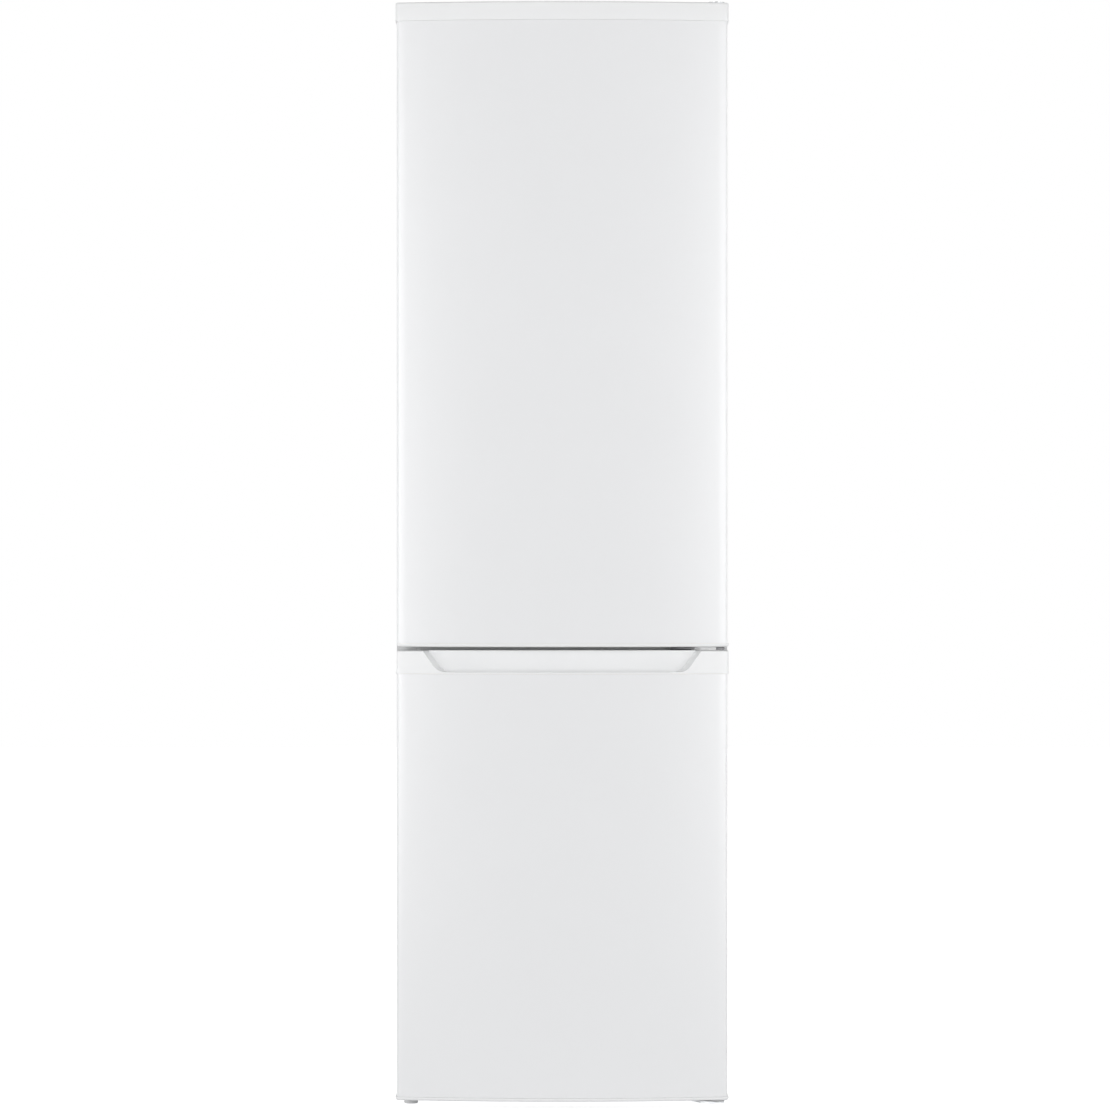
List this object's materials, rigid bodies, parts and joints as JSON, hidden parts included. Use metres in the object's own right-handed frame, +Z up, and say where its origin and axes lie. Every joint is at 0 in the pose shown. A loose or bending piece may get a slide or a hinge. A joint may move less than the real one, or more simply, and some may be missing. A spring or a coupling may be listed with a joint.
{
  "type": "bottom freezer refrigerator",
  "caption": "Free-standing two-door refrigerator with the freezer below, bowed white doors hung on the right, a recessed grip between the doors, drawers, shelves and a rear condenser.",
  "frame": {"origin": "on the floor, at the centre of the outline in plan", "axes": "+X to the right seen from the front, -Y towards the user (the doors face -Y), +Z up"},
  "size_m": [0.54, 0.6, 1.8],
  "materials": {
    "door_paint": "smooth white stove paint, soft gloss",
    "cabinet_paint": "white stove paint, satin",
    "cap_plastic": "white moulded plastic, satin gloss",
    "hinge_cover_plastic": "white moulded plastic",
    "liner_plastic": "white thermoformed sheet, glossy",
    "foam": "rigid insulating foam, cream",
    "gasket_rubber": "soft light grey door seal",
    "bin_plastic": "clear moulded plastic",
    "drawer_plastic": "translucent white moulded plastic",
    "shelf_glass": "toughened clear glass",
    "freezer_shelf_plastic": "white moulded plastic",
    "trim_plastic": "white moulded plastic",
    "lens_plastic": "frosted translucent plastic",
    "plated_steel": "zinc plated steel",
    "black_enamel": "black enamel, satin",
    "black_plastic": "black moulded plastic",
    "black_rubber": "black rubber",
    "copper": "copper tube, slightly dull",
    "tray_plastic": "dark moulded plastic",
    "foot_plastic": "grey moulded plastic",
    "bush_plastic": "white bearing plastic"
  },
  "bodies": {
    "cabinet": {"left_side_panel": "cabinet_paint", "right_side_panel": "cabinet_paint", "top_cover": "cap_plastic", "rear_panel": "plated_steel", "base_plate": "plated_steel", "cabinet_foam": "foam", "fridge_liner": "liner_plastic", "freezer_liner": "liner_plastic", "top_crossmember": "cabinet_paint", "centre_crossmember": "cabinet_paint", "bottom_crossmember": "cabinet_paint", "compressor": "black_enamel", "compressor_grommets": "black_rubber", "relay_cover": "black_plastic", "condenser": "black_enamel", "condenser_clips": "black_plastic", "filter_drier": "copper", "refrigerant_pipes": "copper", "evaporation_tray": "tray_plastic", "drain_tube": "black_rubber", "cord_gland": "black_plastic", "top_hinge_bracket": "plated_steel", "middle_hinge_bracket": "plated_steel", "lower_hinge_bracket": "plated_steel", "top_hinge_cover": "cap_plastic", "middle_hinge_cover": "hinge_cover_plastic", "hinge_screws": "plated_steel", "roller_axles": "plated_steel", "glass_shelves": "shelf_glass", "shelf_trims": "trim_plastic", "crisper_cover": "shelf_glass", "lamp_housing": "liner_plastic", "lamp_lens": "lens_plastic", "freezer_shelves": "freezer_shelf_plastic"},
    "fridge_door": {"fridge_door_panel": "door_paint", "fridge_door_top_cap": "cap_plastic", "fridge_door_bottom_cap": "cap_plastic", "fridge_door_foam": "foam", "fridge_door_liner": "liner_plastic", "fridge_door_gasket": "gasket_rubber", "upper_door_bin": "bin_plastic", "middle_door_bin": "bin_plastic", "bottle_bin": "bin_plastic", "fridge_door_bushings": "bush_plastic"},
    "freezer_door": {"freezer_door_panel": "door_paint", "freezer_handle_cap": "cap_plastic", "freezer_door_bottom_cap": "cap_plastic", "freezer_door_foam": "foam", "freezer_door_liner": "liner_plastic", "freezer_door_gasket": "gasket_rubber", "freezer_door_bushings": "bush_plastic"},
    "left_foot": {"left_foot": "foot_plastic"},
    "right_foot": {"right_foot": "foot_plastic"},
    "left_roller": {"left_roller": "black_plastic"},
    "right_roller": {"right_roller": "black_plastic"},
    "thermostat_knob": {"thermostat_knob": "trim_plastic"},
    "crisper_drawer": {"crisper_drawer": "bin_plastic"},
    "top_freezer_drawer": {"top_freezer_drawer": "drawer_plastic"},
    "middle_freezer_drawer": {"middle_freezer_drawer": "drawer_plastic"},
    "bottom_freezer_drawer": {"bottom_freezer_drawer": "drawer_plastic"}
  },
  "joints": [
    {"name": "fridge_door_hinge", "type": "hinge", "parent": "cabinet", "child": "fridge_door", "pos_m": [0.251, -0.252, 0.75], "axis": [0, 0, 1], "range_deg": [0, 115]},
    {"name": "freezer_door_hinge", "type": "hinge", "parent": "cabinet", "child": "freezer_door", "pos_m": [0.251, -0.252, 0.75], "axis": [0, 0, 1], "range_deg": [0, 115]},
    {"name": "crisper_slide", "type": "slide", "parent": "cabinet", "child": "crisper_drawer", "axis": [0, -1, 0], "range_m": [0, 0.191]},
    {"name": "top_drawer_slide", "type": "slide", "parent": "cabinet", "child": "top_freezer_drawer", "axis": [0, -1, 0], "range_m": [0, 0.1325]},
    {"name": "middle_drawer_slide", "type": "slide", "parent": "cabinet", "child": "middle_freezer_drawer", "axis": [0, -1, 0], "range_m": [0, 0.1325]},
    {"name": "bottom_drawer_slide", "type": "slide", "parent": "cabinet", "child": "bottom_freezer_drawer", "axis": [0, -1, 0], "range_m": [0, 0.1325]},
    {"name": "thermostat_turn", "type": "hinge", "parent": "cabinet", "child": "thermostat_knob", "pos_m": [0.194, -0.114, 1.648], "axis": [-1, 0, 0], "range_deg": [0, 300]},
    {"name": "left_foot_turn", "type": "hinge", "parent": "cabinet", "child": "left_foot", "pos_m": [-0.248, -0.182, 0.02], "axis": [0, 0, 1], "range_deg": [-360, 360]},
    {"name": "right_foot_turn", "type": "hinge", "parent": "cabinet", "child": "right_foot", "pos_m": [0.248, -0.182, 0.02], "axis": [0, 0, 1], "range_deg": [-360, 360]},
    {"name": "left_roller_spin", "type": "hinge", "parent": "cabinet", "child": "left_roller", "pos_m": [-0.23, 0.242, 0.012], "axis": [1, 0, 0], "continuous": true},
    {"name": "right_roller_spin", "type": "hinge", "parent": "cabinet", "child": "right_roller", "pos_m": [0.23, 0.242, 0.012], "axis": [1, 0, 0], "continuous": true}
  ],
  "couplings": [
    {"joint": "crisper_slide", "follows": "fridge_door_hinge", "m_per_rad": 0.095},
    {"joint": "top_drawer_slide", "follows": "freezer_door_hinge", "m_per_rad": 0.066},
    {"joint": "middle_drawer_slide", "follows": "freezer_door_hinge", "m_per_rad": 0.066},
    {"joint": "bottom_drawer_slide", "follows": "freezer_door_hinge", "m_per_rad": 0.066}
  ]
}
